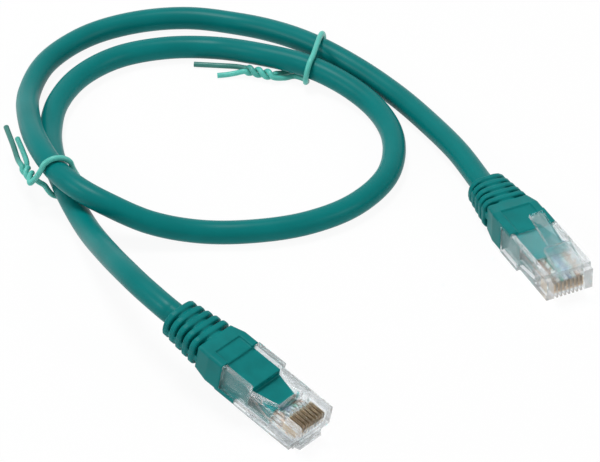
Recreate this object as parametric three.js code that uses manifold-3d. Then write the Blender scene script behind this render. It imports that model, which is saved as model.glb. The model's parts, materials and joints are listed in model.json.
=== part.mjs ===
// Ethernet patch cable: a short round cable with a clear eight-contact plug and a moulded ribbed boot
// on each end, laid in one loop and held by two plastic-coated twist ties. One plug lies on its latch,
// the other on its contact side.
//
// Object frame: millimetres, +Z up, the table at z = 0, the origin under the middle of the two plugs.
// Plug frame: the nose is at x = 0 and the plug runs back along -x, y runs across, z = 0 is the face
// on the latch side and z grows towards the contacts.

import * as THREE from "three";
import { mergeVertices } from "three/addons/utils/BufferGeometryUtils.js";
import Module from "manifold-3d";

const wasm = await Module();
wasm.setup();

// ---------------------------------------------------------------- driving sizes, millimetres

// Cable
const CABLE_DIAMETER = 5.5;
const CABLE_SIDES = 12;
const BORE_SIDES = 16;
const CABLE_STEPS = 72;
const JACKET_WALL = 0.5;
const JACKET_BORE_DEPTH = 3.5;

// Clearances
const SEAT_GAP = 0.08;
const CABLE_GAP = 0.1;
const END_GAP = 0.3;
const PIVOT_GAP = 0.1;

// Plug housing
const PLUG_WIDTH = 11.68;
const NOSE_HEIGHT = 6.5;
const SHOULDER_BACK = 14.4;
const SHOULDER_STEP = 1.58;
const HOUSING_LENGTH = 22.5;
const RAIL_WIDTH = 1.3;
const FLOOR_THICKNESS = 1.2;
const REBATE_LENGTH = 1.03;
const REBATE_HEIGHT = 1.23;
const LATCH_CHANNEL_WIDTH = 9.8;
const LATCH_CHANNEL_DEPTH = 0.5;
const CAVITY_FRONT = 8;
const CAVITY_SIDE_ROOM = 0.3;
const CAVITY_TOP = 4.4;
const WINDOW_FRONT_WIDTH = 5.8;
const WINDOW_FLARE = 0.1;
const POCKET_FRONT = 6.1;
const POCKET_LENGTH = 1;
const POCKET_WIDTH = 8;
const POCKET_DEPTH = 1.3;

// Contacts and conductors
const CONTACT_COUNT = 8;
const CONTACT_PITCH = 1.016;
const CONTACT_THICKNESS = 0.32;
const CONTACT_LENGTH = 4.1;
const CONTACT_SETBACK = 0.5;
const CONTACT_SINK = 0.6;
const CONTACT_CORNER = 0.6;
const SLOT_WIDTH = 0.56;
const SLOT_LENGTH = 5.2;
const SLOT_DEPTH = 2.1;
const WIRE_DIAMETER = 0.92;
const WIRE_HEIGHT = 2.6;
const WIRE_SETBACK = 1.3;
const WIRE_SPREAD_START = 9;
const WIRE_RING_RADIUS = 1.45;
const WIRE_SIDES = 6;
const WIRE_STEPS = 9;
const WIRE_TUCK = 2.6;

// Latch
const LATCH_WIDTH = 6.5;
const LATCH_ROOT_RADIUS = 0.62;
const LATCH_PIVOT_BACK = 0.25;
const LATCH_PIVOT_DROP = 0.4;
const LATCH_ANGLE_DEG = 12.4;
const LATCH_TOP = 0.05;
const LATCH_TAB_LENGTH = 6.7;
const LATCH_TAB_THICKNESS = 1.45;
const LATCH_TAPER = 1;
const LEVER_WIDTH = 3.5;
const LEVER_THICKNESS = 0.9;
const LEVER_LENGTH = 17;
const LEVER_BEND = 0.35;
const LATCH_RECESS_LENGTH = 2.5;
const LATCH_RECESS_WIDTH = 3.6;
const LATCH_RECESS_DEPTH = 0.35;

// Boot
const BOOT_LIP_BACK = 17.8;
const BOOT_LIP_THICKNESS = 1.2;
const TONGUE_HEIGHT = 7.1;
const TONGUE_WALL = 0.45;
const TONGUE_ROOF = 0.35;
const WIRE_ROOM_BACK = 17.2;
const WIRE_ROOM_GAP = 0.2;
const CABLE_AXIS_HEIGHT = 4.15;
const BOOT_BOX_LENGTH = 7.9;
const BOOT_REAR_WIDTH = 10.4;
const BOOT_REAR_DROP = 0.6;
const BOOT_REAR_RISE = 0.65;
const BOOT_CORNER = 0.6;
const RIB_COUNT = 5;
const RIB_PITCH = 2.14;
const RIB_THICKNESS = 1.5;
const RIB_EDGE = 0.25;
const FIRST_RIB_WIDTH = 11.4;
const FIRST_RIB_HEIGHT = 7.5;
const FIRST_RIB_CORNER = 2.2;
const LAST_RIB_WIDTH = 9.8;
const LAST_RIB_HEIGHT = 7.5;
const LAST_RIB_CORNER = 3.2;
const CORE_WIDTH = 7.6;
const CORE_HEIGHT = 6.7;
const WEB_HEIGHT = 1.6;
const WEB_DROP = -0.2;
const WEB_SETBACK = 0.35;
const BOOT_RECESS_LENGTH = 4;
const BOOT_RECESS_WIDTH = 7.6;
const BOOT_RECESS_DEPTH = 0.4;

// Twist ties
const TIE_DIAMETER = 1.3;
const TIE_SIDES = 8;
const TIE_STEPS = 92;
const TWIST_RADIUS = 1.05;
const TWIST_POINTS_PER_TURN = 8;

// How the plugs lie on the table: the place of the nose, its heading, how far B's tail sinks, and
// how far the end of each boot is bent, across and up in the plug frame
const PLUG_A = { noseX: -15.8, noseY: -42.6, headingDeg: -42.9, bootBend: [-0.2, 0.2] };
const PLUG_B = { noseX: 42.55, noseY: 6.8, headingDeg: -64.6, tailDownDeg: 1, bootBend: [-0.2, 0.3] };

// The cable's route over the table, from the boot of plug A to the boot of plug B
const CABLE_ROUTE = [
  [-52.9, -6.6, 15.2], [-56.7, 0.1, 14.2], [-60.4, 9.0, 11.4], [-66.8, 27.6, 5.2], [-71.9, 41.6, 4.45],
  [-75.2, 53.2, 4.3], [-76.8, 66.5, 2.85], [-75.7, 78.0, 2.8], [-70.8, 88.7, 2.8], [-62.1, 96.7, 2.8],
  [-50.7, 100.5, 2.8], [-39.0, 100.5, 2.9], [-27.6, 95.9, 4.3], [-16.6, 91.1, 4.45], [-6.9, 84.3, 3.6],
  [0.5, 75.1, 2.8], [4.0, 63.4, 2.8], [2.3, 49.9, 2.8], [-5.5, 38.7, 2.8], [-16.5, 31.9, 2.8],
  [-29.0, 28.9, 2.8], [-41.1, 28.6, 3.0], [-52.3, 28.9, 5.4], [-62.1, 30.6, 9.4], [-68.6, 34.5, 10.8],
  [-74.0, 41.4, 10.8], [-78.3, 51.0, 10.1], [-81.4, 64.3, 7.4], [-82.5, 81.5, 3.5], [-78.8, 95.0, 2.8],
  [-69.8, 105.4, 2.8], [-58.2, 111.2, 2.8], [-45.6, 113.0, 2.8], [-33.6, 110.6, 2.9], [-24.0, 105.9, 3.8],
  [-14.9, 99.5, 4.45], [-4.6, 91.3, 3.6], [5.2, 80.9, 2.8], [13.0, 69.3, 2.85], [19.1, 58.0, 3.4],
];
const CABLE_END_STEP = 1.5;

// Each tie: its two strands, as places in the route, counted in route points; the direction across
// them; the ends of each arc and how far it slants; the ends, turns and first angle of the twist;
// the points between the band and the twist; and the two free tails
const TOP_TIE = {
  strands: [13.16, 35.17],
  across: [0.232, 0.973],
  arcs: [[0, 262, 90, 1.4], [1, 90, -90, 0]],
  lead: [[-21.8, 90.7, 1.0], [-19.2, 91.7, 0.8]],
  trail: [[-15.8, 95.4, 0.78], [-19.6, 94.0, 0.78], [-22.2, 92.8, 0.95]],
  twistStart: [-24.3, 90.7, 1.75],
  twistEnd: [-30.9, 93.05, 1.75],
  turns: 1.5,
  phaseDeg: -90,
  firstTail: [[-33.4, 94.9, 1.35], [-37.2, 95.9, 0.9], [-43.6, 96.7, 0.72]],
  secondTail: [[-33.5, 92.4, 1.2], [-35.5, 92.3, 0.85], [-37.9, 92.1, 0.72]],
};
const LEFT_TIE = {
  strands: [4.25, 25.0],
  across: [0.965, 0.263],
  arcs: [[1, 170, 0, 0], [0, 0, -165, 0]],
  lead: [[-80.2, 40.9, 7.5], [-78.8, 40.7, 9.2]],
  trail: [[-77.1, 43.9, 4.5], [-78.3, 43.6, 5.7]],
  twistStart: [-79.9, 43.3, 7.2],
  twistEnd: [-81.9, 47.4, 6.9],
  turns: 1,
  phaseDeg: -45,
  firstTail: [[-83.4, 50.0, 7.1], [-84.8, 55.4, 7.2], [-86.9, 62.8, 7.2]],
  secondTail: [[-81.5, 50.4, 6.2], [-82.7, 55.4, 5.8], [-84.2, 60.4, 5.6]],
};
const TIE_GAP = 0.15;
const BAND_SKEW = 1.07;
const TIE_ARC_STEP_DEG = 36;

// ---------------------------------------------------------------- sizes worked out from them

const CABLE_RADIUS = CABLE_DIAMETER / 2;
const HALF_WIDTH = PLUG_WIDTH / 2;
const REAR_HEIGHT = NOSE_HEIGHT + SHOULDER_STEP;
const BOOT_BOX_BACK = HOUSING_LENGTH + BOOT_BOX_LENGTH;
const BOOT_TAIL_BACK = BOOT_BOX_BACK + RIB_COUNT * RIB_PITCH;
const TONGUE_HALF_WIDTH = HALF_WIDTH - RAIL_WIDTH - SEAT_GAP;
const WIRE_RADIUS = WIRE_DIAMETER / 2;
const WIRE_TOP = WIRE_HEIGHT + WIRE_RADIUS;
const WIRE_SLOT_HALF_WIDTH = (CONTACT_COUNT - 1) / 2 * CONTACT_PITCH + WIRE_RADIUS + SEAT_GAP;
const CAVITY_HALF_WIDTH = WIRE_SLOT_HALF_WIDTH + CAVITY_SIDE_ROOM;
const WINDOW_REAR_WIDTH = 2 * (CAVITY_HALF_WIDTH + WINDOW_FLARE);
const JACKET_FRONT_BACK = WIRE_ROOM_BACK + SEAT_GAP;
const RING_BOTTOM = CABLE_AXIS_HEIGHT - WIRE_RING_RADIUS;
const RING_TOP = CABLE_AXIS_HEIGHT + WIRE_RING_RADIUS;
const WIRE_ROOM_BOTTOM = Math.min(WIRE_HEIGHT, RING_BOTTOM) - WIRE_RADIUS - WIRE_ROOM_GAP;
const WIRE_ROOM_FRONT_TOP = WIRE_TOP + WIRE_ROOM_GAP;
const WIRE_ROOM_REAR_TOP = RING_TOP + WIRE_RADIUS + WIRE_ROOM_GAP;
const EPS = 1;

const COLOURS = {
  clear: { color: 0xdfe8ea, roughness: 0.12, metalness: 0, transparent: true, opacity: 0.45 },
  contact: { color: 0xc9a04e, roughness: 0.28, metalness: 1 },
  jacket: { color: 0x1a7d78, roughness: 0.42, metalness: 0 },
  boot: { color: 0x18807a, roughness: 0.5, metalness: 0 },
  tie: { color: 0x40beaa, roughness: 0.4, metalness: 0 },
};
const WIRE_COLOURS = [0xe8b58a, 0xd86a1e, 0x9fc79a, 0x2c5fb0, 0x9db8dc, 0x2f8a4a, 0xc0a48c, 0x6b4226];

// ---------------------------------------------------------------- shape helpers

function material(look) {
  return new THREE.MeshStandardMaterial(look);
}

function named(name, geometry, look) {
  const mesh = new THREE.Mesh(geometry, material(look));
  mesh.name = name;
  return mesh;
}

// A closed three.js geometry as a solid that can be cut and joined
function solid(geometry) {
  const bare = geometry.clone();
  bare.deleteAttribute("normal");
  bare.deleteAttribute("uv");
  const merged = mergeVertices(bare, 1e-4);
  const vertProperties = new Float32Array(merged.attributes.position.array);
  const triVerts = new Uint32Array(merged.index.array);
  return new wasm.Manifold(new wasm.Mesh({ numProp: 3, vertProperties, triVerts }));
}

function geometryOf(body) {
  const mesh = body.getMesh();
  const geometry = new THREE.BufferGeometry();
  geometry.setAttribute("position", new THREE.BufferAttribute(new Float32Array(mesh.vertProperties), 3));
  geometry.setIndex(new THREE.BufferAttribute(new Uint32Array(mesh.triVerts), 1));
  geometry.computeVertexNormals();
  return geometry;
}

// A box between two values on each axis
function block(x0, x1, y0, y1, z0, z1) {
  const geometry = new THREE.BoxGeometry(x1 - x0, y1 - y0, z1 - z0);
  geometry.translate((x0 + x1) / 2, (y0 + y1) / 2, (z0 + z1) / 2);
  return solid(geometry);
}

// A box centred on y = 0
function midBlock(x0, x1, width, z0, z1) {
  return block(x0, x1, -width / 2, width / 2, z0, z1);
}

// An outline in x and z, drawn out across the plug to the given width
function acrossPlug(outline, width) {
  const shape = new THREE.Shape(outline.map(([x, z]) => new THREE.Vector2(x, z)));
  const geometry = new THREE.ExtrudeGeometry(shape, { depth: width, bevelEnabled: false });
  geometry.rotateX(Math.PI / 2);
  geometry.translate(0, width / 2, 0);
  return solid(geometry);
}

// An outline in x and y, drawn up from z0 to z1
function upright(outline, z0, z1) {
  const shape = new THREE.Shape(outline.map(([x, y]) => new THREE.Vector2(x, y)));
  const geometry = new THREE.ExtrudeGeometry(shape, { depth: z1 - z0, bevelEnabled: false });
  geometry.translate(0, 0, z0);
  return solid(geometry);
}

// A round bar along the plug, between two distances back from the nose
function barAlong(radius, frontBack, rearBack, z, sides) {
  const geometry = new THREE.CylinderGeometry(radius, radius, rearBack - frontBack, sides);
  geometry.rotateZ(Math.PI / 2);
  geometry.translate(-(frontBack + rearBack) / 2, 0, z);
  return solid(geometry);
}

// A round bar across the plug
function barAcross(radius, width, x, z, sides) {
  const geometry = new THREE.CylinderGeometry(radius, radius, width, sides);
  geometry.translate(x, 0, z);
  return solid(geometry);
}

// The points of a rounded rectangle in y and z
function roundedSection(width, height, corner, centreZ, centreY = 0) {
  const points = [];
  const stepsPerCorner = 4;
  for (let quarter = 0; quarter < 4; quarter += 1) {
    const sideY = quarter === 0 || quarter === 3 ? 1 : -1;
    const sideZ = quarter < 2 ? 1 : -1;
    for (let step = 0; step <= stepsPerCorner; step += 1) {
      const angle = (quarter + step / stepsPerCorner) * Math.PI / 2;
      const y = centreY + sideY * (width / 2 - corner) + corner * Math.cos(angle);
      const z = centreZ + sideZ * (height / 2 - corner) + corner * Math.sin(angle);
      points.push([y, z]);
    }
  }
  return points;
}

// A solid that joins sections of equal point count; each section is { x, points }, front to rear
function loft(sections) {
  const count = sections[0].points.length;
  const positions = [];
  for (const { x, points } of sections) {
    for (const [y, z] of points) {
      positions.push(x, y, z);
    }
  }
  const faces = [];
  for (let s = 0; s + 1 < sections.length; s += 1) {
    for (let i = 0; i < count; i += 1) {
      const next = (i + 1) % count;
      const a = s * count + i;
      const b = s * count + next;
      faces.push(a, b + count, b, a, a + count, b + count);
    }
  }
  const last = (sections.length - 1) * count;
  for (let i = 1; i + 1 < count; i += 1) {
    faces.push(0, i, i + 1);
    faces.push(last, last + i + 1, last + i);
  }
  const geometry = new THREE.BufferGeometry();
  geometry.setAttribute("position", new THREE.Float32BufferAttribute(positions, 3));
  geometry.setIndex(faces);
  return solid(geometry);
}

// A round tube along a smooth line through points
function tubeGeometry(points, radius, sides, steps) {
  const ring = [];
  for (let i = 0; i < sides; i += 1) {
    const angle = i / sides * Math.PI * 2;
    ring.push(new THREE.Vector2(radius * Math.cos(angle), radius * Math.sin(angle)));
  }
  const extrudePath = new THREE.CatmullRomCurve3(points);
  return new THREE.ExtrudeGeometry(new THREE.Shape(ring), { steps, bevelEnabled: false, extrudePath });
}

// The least gap between stretches of a tube that lie further apart along it than the given distance
function leastSelfGap(points, diameter, apart) {
  const curve = new THREE.CatmullRomCurve3(points);
  const length = curve.getLength();
  const samples = curve.getSpacedPoints(700);
  const step = length / 700;
  const skip = Math.ceil(apart / step);
  let least = Infinity;
  for (let i = 0; i < samples.length; i += 1) {
    for (let j = i + skip; j < samples.length; j += 1) {
      least = Math.min(least, samples[i].distanceTo(samples[j]));
    }
  }
  return { length, gap: least - diameter };
}

// ---------------------------------------------------------------- the plug's pieces

function contactY(index) {
  return (index - (CONTACT_COUNT - 1) / 2) * CONTACT_PITCH;
}

// The top of the room for the conductors, which rises with them from the contacts to the jacket
function roomTopAt(back) {
  const share = (back - WIRE_SPREAD_START) / (JACKET_FRONT_BACK - WIRE_SPREAD_START);
  return THREE.MathUtils.lerp(WIRE_ROOM_FRONT_TOP, WIRE_ROOM_REAR_TOP, share);
}

// Half the width of the housing's window at a distance back from the nose
function windowHalfWidth(back) {
  const share = (back - CAVITY_FRONT) / (SHOULDER_BACK - CAVITY_FRONT);
  return (WINDOW_FRONT_WIDTH + (WINDOW_REAR_WIDTH - WINDOW_FRONT_WIDTH) * share) / 2;
}

function makeHousing() {
  const lipTop = BOOT_LIP_THICKNESS + SEAT_GAP;
  let body = acrossPlug([
    [0, REBATE_HEIGHT],
    [0, NOSE_HEIGHT],
    [-SHOULDER_BACK, NOSE_HEIGHT],
    [-SHOULDER_BACK, REAR_HEIGHT],
    [-HOUSING_LENGTH, REAR_HEIGHT],
    [-HOUSING_LENGTH, lipTop],
    [-BOOT_LIP_BACK, lipTop],
    [-BOOT_LIP_BACK, 0],
    [-REBATE_LENGTH, 0],
    [-REBATE_LENGTH, REBATE_HEIGHT],
  ], PLUG_WIDTH);

  // The lug that the latch's root turns under
  const lug = midBlock(-REBATE_LENGTH - SEAT_GAP, 0, LATCH_WIDTH, 0, REBATE_HEIGHT + SEAT_GAP);
  body = body.add(lug);
  const seatRadius = LATCH_ROOT_RADIUS + PIVOT_GAP;
  body = body.subtract(barAcross(seatRadius, PLUG_WIDTH, -LATCH_PIVOT_BACK, -LATCH_PIVOT_DROP, 20));

  // The shallow channel that the latch lies over
  const channelFront = -REBATE_LENGTH - EPS;
  const channelBack = -BOOT_LIP_BACK - EPS;
  body = body.subtract(midBlock(channelBack, channelFront, LATCH_CHANNEL_WIDTH, -EPS, LATCH_CHANNEL_DEPTH));

  // The open channel between the rear rails, with no floor behind the boot's lip
  const railGap = PLUG_WIDTH - 2 * RAIL_WIDTH;
  const railBack = -HOUSING_LENGTH - EPS;
  body = body.subtract(midBlock(railBack, -SHOULDER_BACK, railGap, FLOOR_THICKNESS, REAR_HEIGHT + EPS));
  body = body.subtract(midBlock(railBack, -BOOT_LIP_BACK, railGap, -EPS, REAR_HEIGHT));

  // The cavity for the conductors, and the window above it that the boot's tongue fills
  const cavityBack = -SHOULDER_BACK - EPS;
  const cavityWidth = 2 * CAVITY_HALF_WIDTH;
  body = body.subtract(midBlock(cavityBack, -CAVITY_FRONT, cavityWidth, FLOOR_THICKNESS, CAVITY_TOP));
  body = body.subtract(upright([
    [-CAVITY_FRONT, -windowHalfWidth(CAVITY_FRONT)],
    [-CAVITY_FRONT, windowHalfWidth(CAVITY_FRONT)],
    [cavityBack, windowHalfWidth(-cavityBack)],
    [cavityBack, -windowHalfWidth(-cavityBack)],
  ], FLOOR_THICKNESS, NOSE_HEIGHT + EPS));

  // The flat slot that holds the eight conductors side by side
  const wireBottom = WIRE_HEIGHT - WIRE_RADIUS - SEAT_GAP;
  const wireFront = -WIRE_SETBACK + SEAT_GAP;
  const slotWidth = 2 * WIRE_SLOT_HALF_WIDTH;
  body = body.subtract(midBlock(-CAVITY_FRONT - EPS, wireFront, slotWidth, wireBottom, WIRE_TOP + SEAT_GAP));

  // The pocket of the strain-relief bar
  const pocketBack = -POCKET_FRONT - POCKET_LENGTH;
  const pocketBottom = NOSE_HEIGHT - POCKET_DEPTH;
  body = body.subtract(midBlock(pocketBack, -POCKET_FRONT, POCKET_WIDTH, pocketBottom, NOSE_HEIGHT + EPS));

  // The slots of the contacts, open at the top and at the nose
  const slotBottom = NOSE_HEIGHT - SLOT_DEPTH;
  const bladeFront = -CONTACT_SETBACK + SEAT_GAP;
  const bladeBack = -CONTACT_SETBACK - CONTACT_LENGTH - SEAT_GAP;
  for (let i = 0; i < CONTACT_COUNT; i += 1) {
    const y0 = contactY(i) - SLOT_WIDTH / 2;
    const y1 = contactY(i) + SLOT_WIDTH / 2;
    body = body.subtract(block(-SLOT_LENGTH, EPS, y0, y1, slotBottom, NOSE_HEIGHT + EPS));
    body = body.subtract(block(bladeBack, bladeFront, y0, y1, WIRE_HEIGHT, slotBottom + SEAT_GAP));
  }
  return body;
}

function makeLatch() {
  const top = LATCH_TOP;
  let body = barAcross(LATCH_ROOT_RADIUS, LATCH_WIDTH, 0, 0, 20);
  body = body.add(acrossPlug([
    [0, top],
    [0, -LATCH_ROOT_RADIUS],
    [-LATCH_TAB_LENGTH, top - LATCH_TAB_THICKNESS],
    [-LATCH_TAB_LENGTH, top],
  ], LATCH_WIDTH));

  // The narrow lever, with tapered flanks where it leaves the tab
  const leverBottom = top - LEVER_THICKNESS;
  const taperBack = LATCH_TAB_LENGTH + LATCH_TAPER;
  body = body.add(upright([
    [-LATCH_TAB_LENGTH + LATCH_TAPER, -LATCH_WIDTH / 2],
    [-LATCH_TAB_LENGTH + LATCH_TAPER, LATCH_WIDTH / 2],
    [-LATCH_TAB_LENGTH, LATCH_WIDTH / 2],
    [-taperBack, LEVER_WIDTH / 2],
    [-taperBack, -LEVER_WIDTH / 2],
    [-LATCH_TAB_LENGTH, -LATCH_WIDTH / 2],
  ], leverBottom, top));
  body = body.add(acrossPlug([
    [-LATCH_TAB_LENGTH, top],
    [-LATCH_TAB_LENGTH, leverBottom],
    [-LEVER_LENGTH, leverBottom - LEVER_BEND],
    [-LEVER_LENGTH, top - LEVER_BEND],
  ], LEVER_WIDTH));

  // The shallow recess in the tab's outer face
  const recessBack = -LATCH_TAB_LENGTH + LATCH_TAPER;
  const recessFront = recessBack + LATCH_RECESS_LENGTH;
  const slope = (LATCH_TAB_THICKNESS - LATCH_TOP - LATCH_ROOT_RADIUS) / LATCH_TAB_LENGTH;
  const faceAt = (x) => -LATCH_ROOT_RADIUS + slope * x;
  const cutter = acrossPlug([
    [recessFront, faceAt(recessFront) + LATCH_RECESS_DEPTH],
    [recessFront, faceAt(recessFront) - EPS],
    [recessBack, faceAt(recessBack) - EPS],
    [recessBack, faceAt(recessBack) + LATCH_RECESS_DEPTH],
  ], LATCH_RECESS_WIDTH);
  return body.subtract(cutter);
}

function makeContact(index) {
  const front = -CONTACT_SETBACK;
  const back = front - CONTACT_LENGTH;
  const top = NOSE_HEIGHT - CONTACT_SINK;
  const bottom = WIRE_TOP + SEAT_GAP;
  const shape = new THREE.Shape();
  shape.moveTo(back, bottom);
  shape.lineTo(front, bottom);
  shape.lineTo(front, top - CONTACT_CORNER);
  shape.absarc(front - CONTACT_CORNER, top - CONTACT_CORNER, CONTACT_CORNER, 0, Math.PI / 2, false);
  shape.lineTo(back, top);
  shape.closePath();
  const settings = { depth: CONTACT_THICKNESS, bevelEnabled: false, curveSegments: 4 };
  const geometry = new THREE.ExtrudeGeometry(shape, settings);
  geometry.rotateX(Math.PI / 2);
  geometry.translate(0, contactY(index) + CONTACT_THICKNESS / 2, 0);
  return geometry;
}

// A conductor runs flat under its contact, then turns up or down into the ring inside the jacket
function makeWire(index) {
  const y = contactY(index);
  const half = CONTACT_COUNT / 2;
  const level = Math.ceil(index / 2);
  const upper = index % 2 === 1 ? 1 : -1;
  const angle = Math.PI * (1 - level / half);
  const ringY = WIRE_RING_RADIUS * Math.cos(angle);
  const ringZ = CABLE_AXIS_HEIGHT + upper * WIRE_RING_RADIUS * Math.sin(angle);
  const middleBack = (WIRE_SPREAD_START + JACKET_FRONT_BACK) / 2;
  const points = [
    new THREE.Vector3(-WIRE_SETBACK, y, WIRE_HEIGHT),
    new THREE.Vector3(-WIRE_SPREAD_START + 2, y, WIRE_HEIGHT),
    new THREE.Vector3(-WIRE_SPREAD_START, y, WIRE_HEIGHT),
    new THREE.Vector3(-middleBack, (y + ringY) / 2, (WIRE_HEIGHT + ringZ) / 2),
    new THREE.Vector3(-JACKET_FRONT_BACK, ringY, ringZ),
    new THREE.Vector3(-JACKET_FRONT_BACK - WIRE_TUCK, ringY, ringZ),
  ];
  return tubeGeometry(points, WIRE_RADIUS, WIRE_SIDES, WIRE_STEPS);
}

// The middle of the boot's tail, which is bent behind the box, at a distance back from the nose
function axisAt(back, bend) {
  const share = Math.max(0, back - BOOT_BOX_BACK) / (BOOT_TAIL_BACK - BOOT_BOX_BACK);
  return new THREE.Vector3(-back, bend[0] * share ** 2, CABLE_AXIS_HEIGHT + bend[1] * share ** 2);
}

// A bar along that line, between two distances back
function barOnAxis(radius, frontBack, rearBack, bend) {
  const count = Math.round((rearBack - frontBack) / RIB_PITCH);
  const points = [];
  for (let i = 0; i <= count; i += 1) {
    points.push(axisAt(THREE.MathUtils.lerp(frontBack, rearBack, i / count), bend));
  }
  return solid(tubeGeometry(points, radius, BORE_SIDES, count));
}

// The end of the jacket inside the boot, open at the front where the conductors come out
function makeJacketEnd(bend) {
  const outer = barOnAxis(CABLE_RADIUS, JACKET_FRONT_BACK, BOOT_TAIL_BACK, bend);
  const boreFront = JACKET_FRONT_BACK - EPS;
  const boreBack = JACKET_FRONT_BACK + JACKET_BORE_DEPTH;
  const bore = barAlong(CABLE_RADIUS - JACKET_WALL, boreFront, boreBack, CABLE_AXIS_HEIGHT, BORE_SIDES);
  return outer.subtract(bore);
}

function makeRib(index, bend) {
  const share = index / (RIB_COUNT - 1);
  const width = THREE.MathUtils.lerp(FIRST_RIB_WIDTH, LAST_RIB_WIDTH, share);
  const height = THREE.MathUtils.lerp(FIRST_RIB_HEIGHT, LAST_RIB_HEIGHT, share);
  const corner = THREE.MathUtils.lerp(FIRST_RIB_CORNER, LAST_RIB_CORNER, share);
  const rear = -(BOOT_BOX_BACK + (index + 1) * RIB_PITCH);
  const front = rear + RIB_THICKNESS;
  const { y, z } = axisAt(-rear, bend);
  const full = roundedSection(width, height, corner, z, y);
  const edge = roundedSection(width - 2 * RIB_EDGE, height - 2 * RIB_EDGE, corner - RIB_EDGE, z, y);
  return loft([
    { x: front, points: edge },
    { x: front - RIB_EDGE, points: full },
    { x: rear + RIB_EDGE, points: full },
    { x: rear, points: edge },
  ]);
}

// The core under the ribs
function makeCore(bend) {
  const sections = [];
  const corner = CORE_HEIGHT / 2 - RIB_EDGE;
  for (let i = -1; i <= RIB_COUNT; i += 1) {
    const back = Math.min(BOOT_BOX_BACK + i * RIB_PITCH, BOOT_TAIL_BACK - RIB_THICKNESS / 2);
    const { y, z } = axisAt(back, bend);
    sections.push({ x: -back, points: roundedSection(CORE_WIDTH, CORE_HEIGHT, corner, z, y) });
  }
  return loft(sections);
}

// A web down each side joins the ribs
function makeWeb(side, bend) {
  const inner = CABLE_RADIUS + CABLE_GAP;
  const sections = [];
  for (let i = 0; i <= RIB_COUNT; i += 1) {
    const back = Math.min(BOOT_BOX_BACK + i * RIB_PITCH, BOOT_TAIL_BACK - RIB_THICKNESS / 2);
    const { y, z } = axisAt(back, bend);
    const outer = THREE.MathUtils.lerp(FIRST_RIB_WIDTH, LAST_RIB_WIDTH, i / RIB_COUNT) / 2 - WEB_SETBACK;
    const y0 = y + Math.min(side * inner, side * outer);
    const y1 = y + Math.max(side * inner, side * outer);
    const z0 = z - WEB_DROP - WEB_HEIGHT;
    const z1 = z - WEB_DROP;
    sections.push({ x: -back + SEAT_GAP, points: [[y1, z0], [y1, z1], [y0, z1], [y0, z0]] });
  }
  return loft(sections);
}

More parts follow.
